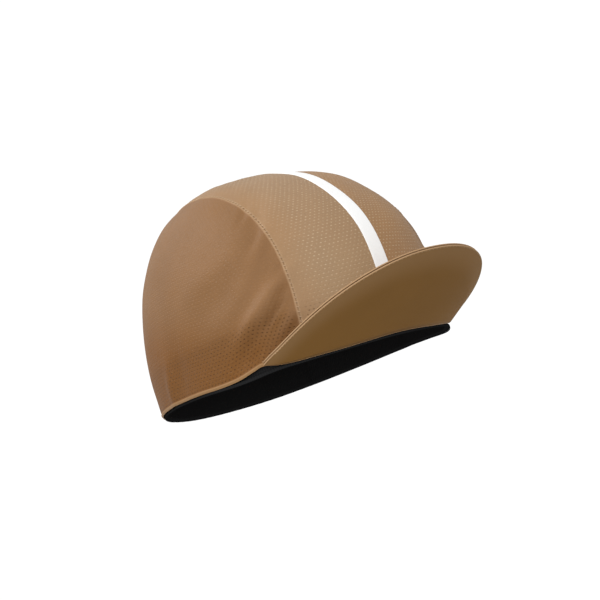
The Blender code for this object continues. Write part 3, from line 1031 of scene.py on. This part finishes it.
class CAP_OT_stitches(bpy.types.Operator):
    """Sews the stitches of the seams and of the peak's edge"""

    bl_idname = "cap.stitches"
    bl_label = "Stitches"

    def execute(self, context):
        crown_sizes, sizes, colours = groups(context, "crown", "peak", "colours")
        seam_thread = thread_finish("seam_thread", colours.seam_thread)
        edge_thread = thread_finish("edge_thread", colours.edge_thread)
        sew("seam_stitches", seam_rows(crown_sizes), seam_thread)
        sew("peak_stitches", peak_rows(crown_sizes, sizes), edge_thread)
        return {"FINISHED"}


class CAP_OT_band(bpy.types.Operator):
    """Builds the sweatband and its elastic back"""

    bl_idname = "cap.band"
    bl_label = "Sweatband"

    def execute(self, context):
        crown_sizes, sizes, colours = groups(context, "crown", "band", "colours")
        join = sizes.elastic_turn
        soft = band_finish("band_knit", colours.band, BAND_RIB)
        ribbed = band_finish("band_elastic", colours.band, ELASTIC_RIB)
        brow = band(crown_sizes, sizes, "brow_band", "sweatband", -join, join, BROW_COLUMNS, 0.0, soft)
        back = band(
            crown_sizes, sizes, "back_elastic", "rear_elastic", join, 2 * math.pi - join,
            ELASTIC_COLUMNS, 0.25 * MM, ribbed,
        )
        return {"FINISHED"}


class CAP_OT_studio(bpy.types.Operator):
    """Sets up the pale floor, the soft lights and the camera"""

    bl_idname = "cap.studio"
    bl_label = "Studio"

    def execute(self, context):
        studio, scene = context.scene.cap_studio, context.scene
        scene.view_settings.view_transform = "Standard"
        a, e, r = studio.azimuth, studio.elevation, studio.roll
        back = Vector((math.sin(a) * math.cos(e), -math.cos(a) * math.cos(e), math.sin(e)))
        level = Vector((math.cos(a), math.sin(a), 0))
        upright = back.cross(level)
        right = level * math.cos(r) - upright * math.sin(r)
        up = level * math.sin(r) + upright * math.cos(r)
        camera = bpy.data.objects.new("camera", bpy.data.cameras.new("camera"))
        scene.collection.objects.link(camera)
        place = right * studio.aside + up * studio.above + back * studio.distance
        place.y -= scene.cap_crown.widest_forward
        camera.matrix_world = Matrix.Translation(place) @ Matrix((right, up, back)).transposed().to_4x4()
        camera.data.sensor_width = 36
        camera.data.lens = studio.lens
        camera.data.clip_start = 0.01
        scene.camera = camera

        aim = Vector((0, -0.02, 0.05))
        for name, power, size, way in (
            ("key", studio.key, 0.8, back * 1.0 + up * 0.35 - right * 0.25),
            ("fill", studio.fill, 0.45, Vector((-0.55, 0.55, 0.95))),
        ):
            lamp = bpy.data.objects.new(name, bpy.data.lights.new(name, "AREA"))
            scene.collection.objects.link(lamp)
            lamp.data.energy, lamp.data.size = power, size
            lamp.matrix_world = face_along(aim + way, way)

        mesh = bmesh.new()
        bmesh.ops.create_circle(mesh, cap_ends=True, segments=96, radius=4.0)
        bmesh.ops.translate(mesh, verts=mesh.verts, vec=(0, 0, studio.floor))
        data = bpy.data.meshes.new("floor")
        mesh.to_mesh(data)
        mesh.free()
        floor = bpy.data.objects.new("floor", data)
        scene.collection.objects.link(floor)
        white = (1.0, 1.0, 1.0)
        pale = Paint(
            bpy.data.materials.new("floor_pale"), Roughness=0.9, Base_Color=darker(white, 0.93),
            Emission_Color=white, Emission_Strength=0.35,
        )
        data.materials.append(pale.owner)
        floor.visible_diffuse = False

        scene.world = bpy.data.worlds.new("studio")
        sky = Paint(scene.world, "Background", Color=white)
        height = sky.node(
            "ShaderNodeSeparateXYZ", {}, {0: sky.node("ShaderNodeTexCoord", output="Generated")}, "Z"
        )
        limits = {"Value": height, "From Min": -1, "To Min": studio.sky_low, "To Max": studio.sky_high}
        light = sky.node("ShaderNodeMapRange", {}, limits)
        seen = sky.node("ShaderNodeLightPath", output="Is Camera Ray")
        sky.shade("Strength", sky.node("ShaderNodeMix", {}, {0: seen, 2: light, 3: studio.backdrop}))
        return {"FINISHED"}


class CAP_PT_panel(bpy.types.Panel):
    """Lists the cap's sizes, colours and build steps"""

    bl_idname = "CAP_PT_panel"
    bl_label = "Cycling Cap"
    bl_space_type = "VIEW_3D"
    bl_region_type = "UI"
    bl_category = "Cap"

    def draw(self, context):
        for name in GROUPS:
            box = self.layout.box()
            box.label(text=name.removeprefix("cap_").title())
            group = getattr(context.scene, name)
            for key in type(group).__annotations__:
                box.prop(group, key)
        for step in STEPS_IN_ORDER:
            self.layout.operator(step.bl_idname)


GROUPS = {
    "cap_crown": CapCrown,
    "cap_peak": CapPeak,
    "cap_band": CapBand,
    "cap_colours": CapColours,
    "cap_studio": CapStudio,
}
STEPS_IN_ORDER = (CAP_OT_studio, CAP_OT_crown, CAP_OT_peak, CAP_OT_band, CAP_OT_stitches)
CLASSES = (*GROUPS.values(), *STEPS_IN_ORDER, CAP_PT_panel)


def register():
    for kind in CLASSES:
        bpy.utils.register_class(kind)
    for name, kind in GROUPS.items():
        setattr(bpy.types.Scene, name, PointerProperty(type=kind))


def unregister():
    for name in GROUPS:
        delattr(bpy.types.Scene, name)
    for kind in reversed(CLASSES):
        bpy.utils.unregister_class(kind)


def main():
    register()
    bpy.ops.cap.studio()
    bpy.ops.cap.crown()
    bpy.ops.cap.peak()
    bpy.ops.cap.band()
    bpy.ops.cap.stitches()
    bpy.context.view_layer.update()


if __name__ == "__main__":
    main()
